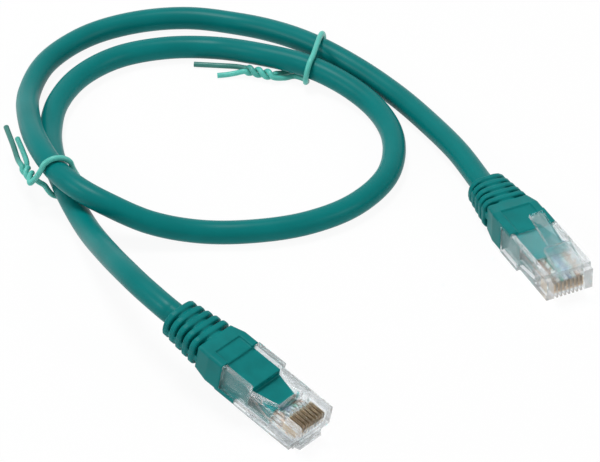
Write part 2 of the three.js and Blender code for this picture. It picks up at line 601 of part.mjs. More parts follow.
function makeBoot(bend) {
  // The box behind the housing, which tapers towards its rear
  const rearHeight = REAR_HEIGHT - BOOT_REAR_DROP - BOOT_REAR_RISE;
  const rearCentre = BOOT_REAR_RISE + rearHeight / 2;
  const boxFront = -HOUSING_LENGTH - SEAT_GAP;
  let body = loft([
    { x: boxFront, points: roundedSection(PLUG_WIDTH, REAR_HEIGHT, BOOT_CORNER, REAR_HEIGHT / 2) },
    {
      x: boxFront - BOOT_RECESS_LENGTH,
      points: roundedSection(PLUG_WIDTH, REAR_HEIGHT, BOOT_CORNER, REAR_HEIGHT / 2),
    },
    { x: -BOOT_BOX_BACK, points: roundedSection(BOOT_REAR_WIDTH, rearHeight, BOOT_CORNER, rearCentre) },
  ]);

  // The ribbed tail
  body = body.add(makeCore(bend));
  for (let i = 0; i < RIB_COUNT; i += 1) {
    body = body.add(makeRib(i, bend));
  }
  body = body.add(makeWeb(1, bend));
  body = body.add(makeWeb(-1, bend));

  // The tongue between the housing's rails, and the lip under them
  const tongueWidth = 2 * TONGUE_HALF_WIDTH;
  const tongueFront = -SHOULDER_BACK - SEAT_GAP;
  const lipFront = -BOOT_LIP_BACK - SEAT_GAP;
  const floorTop = FLOOR_THICKNESS + SEAT_GAP;
  body = body.add(midBlock(boxFront - EPS, tongueFront, tongueWidth, floorTop, TONGUE_HEIGHT));
  body = body.add(midBlock(boxFront - EPS, lipFront, tongueWidth, 0, floorTop + SEAT_GAP));
  body = body.add(midBlock(boxFront - EPS, lipFront, PLUG_WIDTH, 0, BOOT_LIP_THICKNESS));

  // The thinner tongue in the housing's window, over and under the conductors
  const stepFront = -CAVITY_FRONT - SEAT_GAP;
  const stepTop = roomTopAt(-tongueFront) + TONGUE_ROOF;
  const cavityHalf = CAVITY_HALF_WIDTH - SEAT_GAP;
  body = body.add(midBlock(tongueFront, stepFront, 2 * cavityHalf, floorTop, CAVITY_TOP - SEAT_GAP));
  const stepHalf = windowHalfWidth(-stepFront) - 2 * SEAT_GAP;
  const rearHalf = windowHalfWidth(-tongueFront) - 2 * SEAT_GAP;
  body = body.add(upright([
    [stepFront, -stepHalf],
    [stepFront, stepHalf],
    [tongueFront, rearHalf],
    [tongueFront, -rearHalf],
  ], floorTop, stepTop));
  const joinWidth = 2 * Math.min(cavityHalf, TONGUE_HALF_WIDTH);
  body = body.add(midBlock(tongueFront - EPS, tongueFront + SEAT_GAP, joinWidth, floorTop, stepTop));

  // The room for the conductors, opening into the bore for the jacket
  body = body.subtract(acrossPlug([
    [EPS, WIRE_ROOM_BOTTOM],
    [EPS, WIRE_ROOM_FRONT_TOP],
    [-WIRE_SPREAD_START, WIRE_ROOM_FRONT_TOP],
    [tongueFront, roomTopAt(-tongueFront)],
    [tongueFront, WIRE_ROOM_BOTTOM],
  ], PLUG_WIDTH));
  const roomWidth = joinWidth - 2 * TONGUE_WALL;
  const roomFront = tongueFront + SEAT_GAP / 2;
  body = body.subtract(acrossPlug([
    [roomFront, WIRE_ROOM_BOTTOM],
    [roomFront, roomTopAt(-roomFront)],
    [-WIRE_ROOM_BACK, WIRE_ROOM_REAR_TOP],
    [-WIRE_ROOM_BACK, WIRE_ROOM_BOTTOM],
  ], roomWidth));
  const boreRadius = CABLE_RADIUS + CABLE_GAP;
  body = body.subtract(barOnAxis(boreRadius, WIRE_ROOM_BACK - SEAT_GAP, BOOT_TAIL_BACK + EPS, bend));

  // The shallow recesses in the box, on the latch side and on the contact side
  const recessBack = boxFront - BOOT_RECESS_LENGTH;
  const recessTop = REAR_HEIGHT - BOOT_RECESS_DEPTH;
  const recessWidth = BOOT_RECESS_WIDTH;
  body = body.subtract(midBlock(recessBack, lipFront + EPS, recessWidth, -EPS, BOOT_RECESS_DEPTH));
  body = body.subtract(midBlock(recessBack, boxFront + EPS, recessWidth, recessTop, REAR_HEIGHT + EPS));
  return body;
}

// One whole plug with its boot, in the plug frame
function makePlug(letter, bend) {
  const group = new THREE.Group();
  group.add(named(`plug_${letter}_housing`, geometryOf(makeHousing()), COLOURS.clear));
  const latch = named(`plug_${letter}_latch`, geometryOf(makeLatch()), COLOURS.clear);
  latch.position.set(-LATCH_PIVOT_BACK, 0, -LATCH_PIVOT_DROP);
  latch.rotation.y = -THREE.MathUtils.degToRad(LATCH_ANGLE_DEG);
  group.add(latch);
  for (let i = 0; i < CONTACT_COUNT; i += 1) {
    group.add(named(`plug_${letter}_contact_${i + 1}`, makeContact(i), COLOURS.contact));
    const look = { color: WIRE_COLOURS[i % WIRE_COLOURS.length], roughness: 0.45, metalness: 0 };
    group.add(named(`plug_${letter}_wire_${i + 1}`, makeWire(i), look));
  }
  group.add(named(`plug_${letter}_boot`, geometryOf(makeBoot(bend)), COLOURS.boot));
  group.add(named(`plug_${letter}_jacket_end`, geometryOf(makeJacketEnd(bend)), COLOURS.jacket));
  return group;
}

// ---------------------------------------------------------------- how the plugs lie

// Lifts a plug so that its lowest point is on the table
function setDown(plug) {
  plug.updateMatrixWorld(true);
  plug.position.z -= new THREE.Box3().setFromObject(plug, true).min.z;
}

// Plug A lies on its latch, on the shoulder of the tab and the end of the lever
function placePlugA(plug) {
  const shoulderDrop = LATCH_TAB_THICKNESS - LATCH_TOP;
  const tipDrop = LEVER_THICKNESS + LEVER_BEND - LATCH_TOP;
  const latchTilt = Math.atan2(shoulderDrop - tipDrop, LEVER_LENGTH - LATCH_TAB_LENGTH);
  const noseDown = THREE.MathUtils.degToRad(LATCH_ANGLE_DEG) - latchTilt;
  plug.rotation.set(0, noseDown, THREE.MathUtils.degToRad(PLUG_A.headingDeg), "ZYX");
  plug.position.set(PLUG_A.noseX, PLUG_A.noseY, 0);
  setDown(plug);
}

// Plug B lies on its contact side, with the end of its boot sunk towards the table
function placePlugB(plug) {
  const tailDown = THREE.MathUtils.degToRad(PLUG_B.tailDownDeg);
  plug.rotation.set(Math.PI, -tailDown, THREE.MathUtils.degToRad(PLUG_B.headingDeg), "ZYX");
  plug.position.set(PLUG_B.noseX, PLUG_B.noseY, 0);
  setDown(plug);
}

// ---------------------------------------------------------------- cable and ties

// Points that run straight out of a boot's tail, from the tail outwards
function tailPoints(plug, bend) {
  plug.updateMatrixWorld(true);
  const tail = axisAt(BOOT_TAIL_BACK, bend);
  const outwards = tail.clone().sub(axisAt(BOOT_TAIL_BACK - RIB_PITCH / 4, bend)).normalize();
  const points = [];
  for (let i = 0; i < 3; i += 1) {
    const point = tail.clone().addScaledVector(outwards, END_GAP + i * CABLE_END_STEP);
    points.push(point.applyMatrix4(plug.matrixWorld));
  }
  return points;
}

function toVectors(list) {
  return list.map(([x, y, z]) => new THREE.Vector3(x, y, z));
}

// Half of a twist: a helix from the twist's start to its end, on one side of its axis
function twistPoints(start, end, turns, phase) {
  const axis = end.clone().sub(start);
  const along = axis.clone().normalize();
  const up = new THREE.Vector3(0, 0, 1);
  const side = new THREE.Vector3().crossVectors(along, up).normalize();
  const over = new THREE.Vector3().crossVectors(side, along);
  const count = Math.round(turns * TWIST_POINTS_PER_TURN);
  const points = [];
  for (let i = 0; i <= count; i += 1) {
    const angle = phase + i / TWIST_POINTS_PER_TURN * Math.PI * 2;
    const point = start.clone().addScaledVector(axis, i / count);
    point.addScaledVector(over, TWIST_RADIUS * Math.cos(angle));
    point.addScaledVector(side, TWIST_RADIUS * Math.sin(angle));
    points.push(point);
  }
  return points;
}

// Points round one strand at the band's distance. Zero degrees is across the strands and 90 is up;
// the first point is slid sideways, towards the twist, by the given length.
function bandArc(tie, [strand, fromDeg, toDeg, slide]) {
  const centre = cableCurve.getPoint((cableStart.length + tie.strands[strand]) / (cablePoints.length - 1));
  const across = new THREE.Vector3(tie.across[0], tie.across[1], 0).normalize();
  const sideways = new THREE.Vector3(-across.y, across.x, 0);
  const reach = CABLE_RADIUS + TIE_DIAMETER / 2 + TIE_GAP;
  const count = Math.max(1, Math.round(Math.abs(toDeg - fromDeg) / TIE_ARC_STEP_DEG));
  const points = [];
  for (let i = 0; i <= count; i += 1) {
    const share = i / count;
    const angle = THREE.MathUtils.degToRad(fromDeg + (toDeg - fromDeg) * share);
    const point = centre.clone().addScaledVector(across, BAND_SKEW * reach * Math.cos(angle));
    point.z += reach * Math.sin(angle);
    point.addScaledVector(sideways, slide * (1 - share));
    points.push(point);
  }
  return points;
}

function tiePoints(tie) {
  const start = new THREE.Vector3(...tie.twistStart);
  const end = new THREE.Vector3(...tie.twistEnd);
  const phase = THREE.MathUtils.degToRad(tie.phaseDeg);
  const first = twistPoints(start, end, tie.turns, phase);
  const second = twistPoints(start, end, tie.turns, phase + Math.PI);
  const band = tie.arcs.flatMap((arc) => bandArc(tie, arc));
  return [
    ...toVectors(tie.firstTail).reverse(),
    ...first.reverse(),
    ...toVectors(tie.lead),
    ...band,
    ...toVectors(tie.trail),
    ...second,
    ...toVectors(tie.secondTail),
  ];
}

// ---------------------------------------------------------------- the whole object

const plugA = makePlug("a", PLUG_A.bootBend);
placePlugA(plugA);
const plugB = makePlug("b", PLUG_B.bootBend);
placePlugB(plugB);

const cableStart = tailPoints(plugA, PLUG_A.bootBend);
const cableEnd = tailPoints(plugB, PLUG_B.bootBend).reverse();
const cablePoints = [...cableStart, ...toVectors(CABLE_ROUTE), ...cableEnd];
const cableCurve = new THREE.CatmullRomCurve3(cablePoints);
const cableGeometry = tubeGeometry(cablePoints, CABLE_RADIUS, CABLE_SIDES, CABLE_STEPS);
const topTiePoints = tiePoints(TOP_TIE);
const leftTiePoints = tiePoints(LEFT_TIE);

const topTie = tubeGeometry(topTiePoints, TIE_DIAMETER / 2, TIE_SIDES, TIE_STEPS);
const leftTie = tubeGeometry(leftTiePoints, TIE_DIAMETER / 2, TIE_SIDES, TIE_STEPS);

const patchCable = new THREE.Group();
patchCable.add(plugA);
patchCable.add(plugB);
patchCable.add(named("cable_jacket", cableGeometry, COLOURS.jacket));
patchCable.add(named("tie_top", topTie, COLOURS.tie));
patchCable.add(named("tie_left", leftTie, COLOURS.tie));

// The origin goes under the middle of the two plugs
const plugsBox = new THREE.Box3().setFromObject(plugA, true);
plugsBox.union(new THREE.Box3().setFromObject(plugB, true));
const middle = plugsBox.getCenter(new THREE.Vector3());
patchCable.position.set(-middle.x, -middle.y, 0);

function printLine(name, points, diameter, apart) {
  const { length, gap } = leastSelfGap(points, diameter, apart);
  console.log(`${name} length ${length.toFixed(1)} mm, least gap to itself ${gap.toFixed(2)} mm`);
}

printLine("cable", cablePoints, CABLE_DIAMETER, 4 * CABLE_DIAMETER);
printLine("top tie", topTiePoints, TIE_DIAMETER, 5 * TIE_DIAMETER);
printLine("left tie", leftTiePoints, TIE_DIAMETER, 5 * TIE_DIAMETER);

export default patchCable;
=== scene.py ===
"""Ethernet patch cable: the finish of a short green network cable with a clear plug on each end.

The cable lies in one loop that two plastic-coated twist ties hold. All lengths are metres, in the frame
of the packed model: +Z up, the table at z = 0, the origin under the middle of the two plugs. Pieces of a
plug are made in the plug's own frame, where the nose is at x = 0, the plug runs back along -x, y runs
across and z grows from the latch side to the contact side.
"""

import json
import math

import bmesh
import bpy
from bpy.props import FloatProperty, FloatVectorProperty, IntProperty, PointerProperty
from mathutils import Matrix, Vector


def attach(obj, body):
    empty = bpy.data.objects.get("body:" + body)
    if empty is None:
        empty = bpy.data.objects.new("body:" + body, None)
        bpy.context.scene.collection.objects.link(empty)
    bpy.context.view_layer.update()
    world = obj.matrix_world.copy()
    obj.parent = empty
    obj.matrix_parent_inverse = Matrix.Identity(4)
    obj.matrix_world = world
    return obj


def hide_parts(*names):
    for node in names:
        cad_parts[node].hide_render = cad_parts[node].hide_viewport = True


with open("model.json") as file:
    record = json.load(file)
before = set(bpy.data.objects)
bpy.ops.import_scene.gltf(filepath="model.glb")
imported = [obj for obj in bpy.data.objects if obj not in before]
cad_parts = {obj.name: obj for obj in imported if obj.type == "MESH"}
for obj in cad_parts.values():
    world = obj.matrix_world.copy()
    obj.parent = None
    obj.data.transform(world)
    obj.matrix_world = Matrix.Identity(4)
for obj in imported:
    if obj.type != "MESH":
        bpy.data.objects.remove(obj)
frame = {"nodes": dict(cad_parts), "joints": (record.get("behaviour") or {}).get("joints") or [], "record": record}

bl_info = {
    "name": "Ethernet patch cable",
    "version": (1, 0, 0),
    "blender": (4, 5, 0),
    "location": "View3D > Sidebar > Patch Cable",
    "description": "Makes the finished pieces of an ethernet patch cable around its packed model",
    "category": "Object",
}

CORD_BODY = "cord"
PLUGS = ("a", "b")

# ---------------------------------------------------------------- places and sizes, metres

# In the plug's frame
LATCH_PIVOT = Vector((-0.00025, 0, -0.0004))
CABLE_AXIS_HEIGHT = 0.00415
BOOT_BOX_BACK = 0.0304
BOOT_TAIL_BACK = 0.0411
RIB_PITCH = 0.00214
CONTACT_COUNT = 8
CONTACT_PITCH = 0.001016
NOSE_HEIGHT = 0.0065
CONTACT_SETBACK = 0.0005
CONTACT_LENGTH = 0.0041
CONTACT_SINK = 0.0006
CONTACT_CORNER = 0.0006
WIRE_HEIGHT = 0.0026
WIRE_SETBACK = 0.0013
WIRE_SPREAD_START = 0.009
WIRE_STRAIGHT_LEAD = 0.002
WIRE_RING_RADIUS = 0.00145
WIRE_TUCK = 0.0026
JACKET_FRONT_BACK = 0.01728
SEAT_GAP = 0.00008

# How far the end of each boot is bent, across and up
BOOT_BEND = {"a": (-0.0002, 0.0002), "b": (-0.0002, 0.0003)}

# The cable's route over the table from plug A to plug B, laid out from where plug A's nose was set down
PLUG_A_PLACE = Vector((-0.0158, -0.0426))
CABLE_ROUTE = [
    (-0.0529, -0.0066, 0.0152), (-0.0567, 0.0001, 0.0142), (-0.0604, 0.0090, 0.0114),
    (-0.0668, 0.0276, 0.0052), (-0.0719, 0.0416, 0.00445), (-0.0752, 0.0532, 0.0043),
    (-0.0768, 0.0665, 0.00285), (-0.0757, 0.0780, 0.0028), (-0.0708, 0.0887, 0.0028),
    (-0.0621, 0.0967, 0.0028), (-0.0507, 0.1005, 0.0028), (-0.0390, 0.1005, 0.0029),
    (-0.0276, 0.0959, 0.0043), (-0.0166, 0.0911, 0.00445), (-0.0069, 0.0843, 0.0036),
    (0.0005, 0.0751, 0.0028), (0.0040, 0.0634, 0.0028), (0.0023, 0.0499, 0.0028),
    (-0.0055, 0.0387, 0.0028), (-0.0165, 0.0319, 0.0028), (-0.0290, 0.0289, 0.0028),
    (-0.0411, 0.0286, 0.0030), (-0.0523, 0.0289, 0.0054), (-0.0621, 0.0306, 0.0094),
    (-0.0686, 0.0345, 0.0108), (-0.0740, 0.0414, 0.0108), (-0.0783, 0.0510, 0.0101),
    (-0.0814, 0.0643, 0.0074), (-0.0825, 0.0815, 0.0035), (-0.0788, 0.0950, 0.0028),
    (-0.0698, 0.1054, 0.0028), (-0.0582, 0.1112, 0.0028), (-0.0456, 0.1130, 0.0028),
    (-0.0336, 0.1106, 0.0029), (-0.0240, 0.1059, 0.0038), (-0.0149, 0.0995, 0.00445),
    (-0.0046, 0.0913, 0.0036), (0.0052, 0.0809, 0.0028), (0.0130, 0.0693, 0.00285),
    (0.0191, 0.0580, 0.0034),
]
CABLE_END_POINTS = 3
CABLE_END_GAP = 0.0003
CABLE_END_STEP = 0.0015
CABLE_END_TUCK = 0.0015

# Each tie: its two strands, as places on the route, counted in route points; the direction across them;
# its arcs, each with its strand, its first and last angle in degrees and how far its first point is slid
# sideways; the points between the band and the twist; the ends, turns and first angle of the twist; and
# the two free tails
TIES = {
    "top": {
        "strands": (13.16, 35.17),
        "across": (0.232, 0.973),
        "arcs": [(0, 262, 90, 0.0014), (1, 90, -90, 0)],
        "lead": [(-0.0218, 0.0907, 0.0010), (-0.0192, 0.0917, 0.0008)],
        "trail": [(-0.0158, 0.0954, 0.00078), (-0.0196, 0.0940, 0.00078), (-0.0222, 0.0928, 0.00095)],
        "twist": [(-0.0243, 0.0907, 0.00175), (-0.0309, 0.09305, 0.00175)],
        "turns": 1.5,
        "phase_deg": -90,
        "first_tail": [(-0.0334, 0.0949, 0.00135), (-0.0372, 0.0959, 0.0009), (-0.0436, 0.0967, 0.00072)],
        "second_tail": [(-0.0335, 0.0924, 0.0012), (-0.0355, 0.0923, 0.00085), (-0.0379, 0.0921, 0.00072)],
    },
    "left": {
        "strands": (4.25, 25.0),
        "across": (0.965, 0.263),
        "arcs": [(1, 170, 0, 0), (0, 0, -165, 0)],
        "lead": [(-0.0802, 0.0409, 0.0075), (-0.0788, 0.0407, 0.0092)],
        "trail": [(-0.0771, 0.0439, 0.0045), (-0.0783, 0.0436, 0.0057)],
        "twist": [(-0.0799, 0.0433, 0.0072), (-0.0819, 0.0474, 0.0069)],
        "turns": 1,
        "phase_deg": -45,
        "first_tail": [(-0.0834, 0.0500, 0.0071), (-0.0848, 0.0554, 0.0072), (-0.0869, 0.0628, 0.0072)],
        "second_tail": [(-0.0815, 0.0504, 0.0062), (-0.0827, 0.0554, 0.0058), (-0.0842, 0.0604, 0.0056)],
    },
}

# The gap between a band and the strand in it, and how many times as wide as high the band's arcs are
TIE_GAP = 0.00015
BAND_SKEW = 1.07

# The steps in which a band and a twist are laid out
TIE_ARC_STEP = math.radians(36)
TWIST_POINTS_PER_TURN = 8

# Painted shade: a tie is drawn dark from its first end up to the first of these lengths, and as pale as the rest
# from the second
TIE_PAINTED_SHADE_TO = 0.012
TIE_PAINTED_SHADE_GONE_FROM = 0.018

# The conductors in the order of their contacts: the record's slot and the colours of insulation and stripe, muted
# towards grey as a painted veil of the clear plastic's reflection
CONDUCTORS = [
    ("wire_white_orange", (0.70, 0.67, 0.64), (0.60, 0.42, 0.32)),
    ("wire_orange", (0.55, 0.36, 0.26), (0.50, 0.32, 0.23)),
    ("wire_white_green", (0.66, 0.70, 0.67), (0.28, 0.44, 0.36)),
    ("wire_blue", (0.20, 0.27, 0.35), (0.17, 0.24, 0.32)),
    ("wire_white_blue", (0.66, 0.69, 0.72), (0.30, 0.38, 0.47)),
    ("wire_green", (0.12, 0.32, 0.25), (0.10, 0.28, 0.22)),
    ("wire_white_brown", (0.72, 0.69, 0.65), (0.34, 0.23, 0.16)),
    ("wire_brown", (0.26, 0.17, 0.12), (0.22, 0.14, 0.10)),
]

# Edges sharper than these angles are rounded on housings and contacts, and stay sharp on tubes
HOUSING_EDGE_ANGLE = math.radians(35)
CONTACT_EDGE_ANGLE = math.radians(40)
TUBE_EDGE_ANGLE = math.radians(50)

# Faces across a contact's rounded edges, and round its front corner
CONTACT_EDGE_SEGMENTS = 2
CONTACT_CORNER_STEPS = 6

# Triangles that lie within this angle of each other are joined, and so are points within this distance
FLAT_ANGLE = math.radians(0.6)
MERGE_DISTANCE = 1e-6

# The boots are drawn from their grid at this many times their size
REMESH_SCALE = 1000

# The stage: the width of the camera's sensor in millimetres, how far the floor lies under the table's
# height, what the lights are aimed at, and each light's place, its width and depth, and the setting that
# holds its power
SENSOR_WIDTH_MM = 36
FLOOR_DROP = 0.00003
LIGHT_AIM = Vector((-0.02, 0.04, 0))
LIGHTS = {
    "light above": ((-0.25, 0.25, 1.1), (0.38, 0.3), "key_power"),
    "light at the left": ((-0.9, -0.2, 0.55), (0.3, 0.3), "side_power"),
    "light at the right": ((0.9, -0.35, 0.6), (0.3, 0.3), "fill_power"),
}

# ---------------------------------------------------------------- settings a user would change


class CableSettings(bpy.types.PropertyGroup):
    """Sizes and colour of the cable's jacket"""

    diameter: FloatProperty(
        name="Diameter", description="Outer diameter of the jacket",
        default=0.0055, min=0.001, unit="LENGTH", subtype="DISTANCE")
    sides: IntProperty(
        name="Sides", description="Faces round the jacket", default=28, min=8)
    steps: IntProperty(
        name="Steps", description="Rings between two points of the route", default=12, min=2)
    colour: FloatVectorProperty(
        name="Colour", description="Colour of the jacket",
        default=(0.001, 0.19, 0.186), size=3, min=0, max=1, subtype="COLOR")


class TieSettings(bpy.types.PropertyGroup):
    """Sizes and colour of the twist ties"""

    diameter: FloatProperty(
        name="Diameter", description="Diameter of the coated wire",
        default=0.0013, min=0.0003, unit="LENGTH", subtype="DISTANCE")
    twist_radius: FloatProperty(
        name="Twist radius", description="Distance of each strand from the middle of the twist",
        default=0.00072, min=0.0003, unit="LENGTH", subtype="DISTANCE")
    sides: IntProperty(
        name="Sides", description="Faces round the wire", default=16, min=6)
    steps: IntProperty(
        name="Steps", description="Rings between two points of the tie", default=8, min=2)
    colour: FloatVectorProperty(
        name="Colour", description="Colour of the coating",
        default=(0.105, 0.55, 0.47), size=3, min=0, max=1, subtype="COLOR")


class BootSettings(bpy.types.PropertyGroup):
    """Finish of the moulded boots"""

    grid: FloatProperty(
        name="Grid", description="Size of the grid that the rounded surface is drawn from",
        default=0.00016, min=0.0001, unit="LENGTH", subtype="DISTANCE")
    rounding: IntProperty(
        name="Rounding", description="Rounds of smoothing on the edges", default=2, min=0)
    colour: FloatVectorProperty(
        name="Colour", description="Colour of the moulding",
        default=(0.001, 0.19, 0.187), size=3, min=0, max=1, subtype="COLOR")


class HousingSettings(bpy.types.PropertyGroup):
    """Finish of the clear housings and latches"""

    edge: FloatProperty(
        name="Edge", description="Width of the rounding on the edges",
        default=0.00009, min=0, unit="LENGTH", subtype="DISTANCE")
    segments: IntProperty(
        name="Segments", description="Faces across each rounding", default=2, min=1)
    tint: FloatVectorProperty(
        name="Tint", description="Tint of the clear plastic",
        default=(0.82, 0.87, 0.89), size=3, min=0, max=1, subtype="COLOR")
    roughness: FloatProperty(
        name="Roughness", description="Roughness of the clear plastic",
        default=0.04, min=0, max=1, subtype="FACTOR")


class ContactSettings(bpy.types.PropertyGroup):
    """Sizes and colour of the contacts"""

    thickness: FloatProperty(
        name="Thickness", description="Thickness of each contact",
        default=0.00032, min=0.0001, unit="LENGTH", subtype="DISTANCE")
    edge: FloatProperty(
        name="Edge", description="Width of the rounding on the edges",
        default=0.00004, min=0, unit="LENGTH", subtype="DISTANCE")
    colour: FloatVectorProperty(
        name="Colour", description="Colour of the plating",
        default=(0.74, 0.53, 0.33), size=3, min=0, max=1, subtype="COLOR")


class ConductorSettings(bpy.types.PropertyGroup):
    """Sizes of the insulated conductors"""

    diameter: FloatProperty(
        name="Diameter", description="Diameter over the insulation",
        default=0.00092, min=0.0002, unit="LENGTH", subtype="DISTANCE")
    sides: IntProperty(
        name="Sides", description="Faces round each conductor", default=14, min=6)
    steps: IntProperty(
        name="Steps", description="Rings between two points of a conductor", default=8, min=2)


class StageSettings(bpy.types.PropertyGroup):
    """Camera, floor and light"""

    camera_place: FloatVectorProperty(
        name="Camera", description="Place of the camera",
        default=(-0.017892, -0.745098, 0.614), size=3, unit="LENGTH", subtype="XYZ")
    camera_pitch: FloatProperty(
        name="Pitch", description="How far the camera looks down",
        default=math.radians(38.26), unit="ROTATION", subtype="ANGLE")
    focal_length: FloatProperty(
        name="Focal length", description="Focal length on a sensor 36 mm wide",
        default=258.66, min=20, unit="CAMERA")
    floor_size: FloatProperty(
        name="Floor", description="Width of the floor",
        default=8, min=1, unit="LENGTH", subtype="DISTANCE")
    floor_white: FloatProperty(
        name="Floor white", description="Share of the floor that the camera sees as plain white",
        default=0.93, min=0, max=1, subtype="FACTOR")
    key_power: FloatProperty(
        name="Key light", description="Power of the large light above", default=7.5, min=0, unit="POWER")
    side_power: FloatProperty(
        name="Side light", description="Power of the light at the left", default=2.2, min=0, unit="POWER")
    fill_power: FloatProperty(
        name="Fill light", description="Power of the light at the right", default=1.6, min=0, unit="POWER")
    sky: FloatProperty(
        name="Sky", description="Level of the light from all round", default=0.3, min=0)


SETTINGS = {
    "patch_cable": CableSettings,
    "patch_cable_ties": TieSettings,
    "patch_cable_boots": BootSettings,
    "patch_cable_housings": HousingSettings,
    "patch_cable_contacts": ContactSettings,
    "patch_cable_conductors": ConductorSettings,
    "patch_cable_stage": StageSettings,
}

# ---------------------------------------------------------------- lines


def line_point(points, place):
    """The point of the centripetal Catmull-Rom line through points, at a place counted in points"""
    last = len(points) - 1
    i = min(int(place), last - 1)
    share = place - i
    p1 = points[i]
    p2 = points[i + 1]
    p0 = points[i - 1] if i > 0 else 2 * p1 - p2
    p3 = points[i + 2] if i + 2 <= last else 2 * p2 - p1
    d0 = (p1 - p0).length ** 0.5
    d1 = (p2 - p1).length ** 0.5
    d2 = (p3 - p2).length ** 0.5
    leave = ((p1 - p0) / d0 - (p2 - p0) / (d0 + d1) + (p2 - p1) / d1) * d1
    reach = ((p2 - p1) / d1 - (p3 - p1) / (d1 + d2) + (p3 - p2) / d2) * d1
    square = -3 * p1 + 3 * p2 - 2 * leave - reach
    cube = 2 * p1 - 2 * p2 + leave + reach
    return p1 + leave * share + square * share ** 2 + cube * share ** 3


def smooth_line(points, steps):
    """The line through points as a list, with the given number of steps between two of them"""
    stretches = len(points) - 1
    return [line_point(points, i / steps) for i in range(stretches * steps + 1)]


def plug_matrix(letter):
    """The plug's frame, from its latch's joint and the mount on its nose"""
    joint = next(j for j in frame["joints"] if j["child"] == f"latch_{letter}")
    mount = next(m for m in frame["record"]["mounts"] if m["name"] == f"plug_{letter}_nose")
    across = Vector(joint["axis"]).normalized()
    forward = Vector(mount["axis"])
    forward = (forward - across * forward.dot(across)).normalized()
    turn = Matrix((forward, across, forward.cross(across))).transposed()
    origin = Vector(joint["pos_m"]) - turn @ LATCH_PIVOT
    return Matrix.Translation(origin) @ turn.to_4x4()


def boot_axis(letter, back):
    """The middle of the boot's tail, which is bent behind its box, at a distance back from the nose"""
    share = max(0, back - BOOT_BOX_BACK) / (BOOT_TAIL_BACK - BOOT_BOX_BACK)
    bend = BOOT_BEND[letter]
    return Vector((-back, bend[0] * share ** 2, CABLE_AXIS_HEIGHT + bend[1] * share ** 2))


def laid_out(points):
    """Places that were laid out from plug A, in the packed model's frame"""
    moved = plug_matrix("a").translation
    shift = Vector((moved.x - PLUG_A_PLACE.x, moved.y - PLUG_A_PLACE.y, 0))
    return [Vector(point) + shift for point in points]


def tail_points(letter):
    """Points that run straight out of a boot's tail, from the tail outwards"""
    tail = boot_axis(letter, BOOT_TAIL_BACK)
    before_tail = boot_axis(letter, BOOT_TAIL_BACK - RIB_PITCH / 4)
    outwards = (tail - before_tail).normalized()
    steps = [CABLE_END_GAP + i * CABLE_END_STEP for i in range(CABLE_END_POINTS)]
    return [plug_matrix(letter) @ (tail + outwards * step) for step in steps]


def cable_points():
    return tail_points("a") + laid_out(CABLE_ROUTE) + tail_points("b")[::-1]


def cable_line(steps):
    """The cable's middle, lengthened at both ends so that it is tucked into the boots"""
    line = smooth_line(cable_points(), steps)
    tuck = CABLE_END_GAP + CABLE_END_TUCK
    first = line[0] + (line[0] - line[1]).normalized() * tuck
    last = line[-1] + (line[-1] - line[-2]).normalized() * tuck
    return [first] + line + [last]


def twist_points(start, end, turns, phase, radius):
    """Half of a twist: a helix from its start to its end, on one side of its axis"""
    axis = end - start
    along = axis.normalized()
    side = along.cross(Vector((0, 0, 1))).normalized()
    over = side.cross(along)
    count = round(turns * TWIST_POINTS_PER_TURN)
    points = []
    for i in range(count + 1):
        angle = phase + i / TWIST_POINTS_PER_TURN * math.tau
        middle = start + axis * (i / count)
        points.append(middle + over * radius * math.cos(angle) + side * radius * math.sin(angle))
    return points


def band_arc(tie, arc, reach, cable):
    """Points round one strand: zero is across the strands, 90 is up, and the slide fades out along the arc"""
    strand, from_deg, to_deg, slide = arc
    centre = line_point(cable, CABLE_END_POINTS + tie["strands"][strand])
    across = Vector((*tie["across"], 0)).normalized()
    sideways = Vector((-across.y, across.x, 0))
    sweep = math.radians(to_deg - from_deg)
    count = max(1, round(abs(sweep) / TIE_ARC_STEP))
    points = []
    for i in range(count + 1):
        share = i / count
        angle = math.radians(from_deg) + sweep * share
        point = centre + across * BAND_SKEW * reach * math.cos(angle)
        point += Vector((0, 0, reach * math.sin(angle)))
        points.append(point + sideways * slide * (1 - share))
    return points


def tie_points(tie, wire, cable_radius):
    """All points of a tie, from the end of one tail to the end of the other"""
    start, end = laid_out(tie["twist"])
    cable = cable_points()
    reach = cable_radius + wire.diameter / 2 + TIE_GAP
    phase = math.radians(tie["phase_deg"])
    first = twist_points(start, end, tie["turns"], phase, wire.twist_radius)
    second = twist_points(start, end, tie["turns"], phase + math.pi, wire.twist_radius)
    band = [point for arc in tie["arcs"] for point in band_arc(tie, arc, reach, cable)]
    return [
        *laid_out(tie["first_tail"])[::-1],
        *first[::-1],
        *laid_out(tie["lead"]),
        *band,
        *laid_out(tie["trail"]),
        *second,
        *laid_out(tie["second_tail"]),
    ]


def conductor_points(index):
    """A conductor runs flat under its contact, then turns up or down into the ring inside the jacket"""
    y = contact_y(index)
    half = CONTACT_COUNT / 2
    angle = math.pi * (1 - math.ceil(index / 2) / half)
    upper = 1 if index % 2 else -1
    ring_y = WIRE_RING_RADIUS * math.cos(angle)
    ring_z = CABLE_AXIS_HEIGHT + upper * WIRE_RING_RADIUS * math.sin(angle)
    middle_back = (WIRE_SPREAD_START + JACKET_FRONT_BACK) / 2
    straight_end = WIRE_SPREAD_START - WIRE_STRAIGHT_LEAD
    return [
        Vector((-WIRE_SETBACK, y, WIRE_HEIGHT)),
        Vector((-straight_end, y, WIRE_HEIGHT)),
        Vector((-WIRE_SPREAD_START, y, WIRE_HEIGHT)),
        Vector((-middle_back, (y + ring_y) / 2, (WIRE_HEIGHT + ring_z) / 2)),
        Vector((-JACKET_FRONT_BACK, ring_y, ring_z)),
        Vector((-JACKET_FRONT_BACK - WIRE_TUCK, ring_y, ring_z)),
    ]


def contact_y(index):
    return (index - (CONTACT_COUNT - 1) / 2) * CONTACT_PITCH


# ---------------------------------------------------------------- meshes


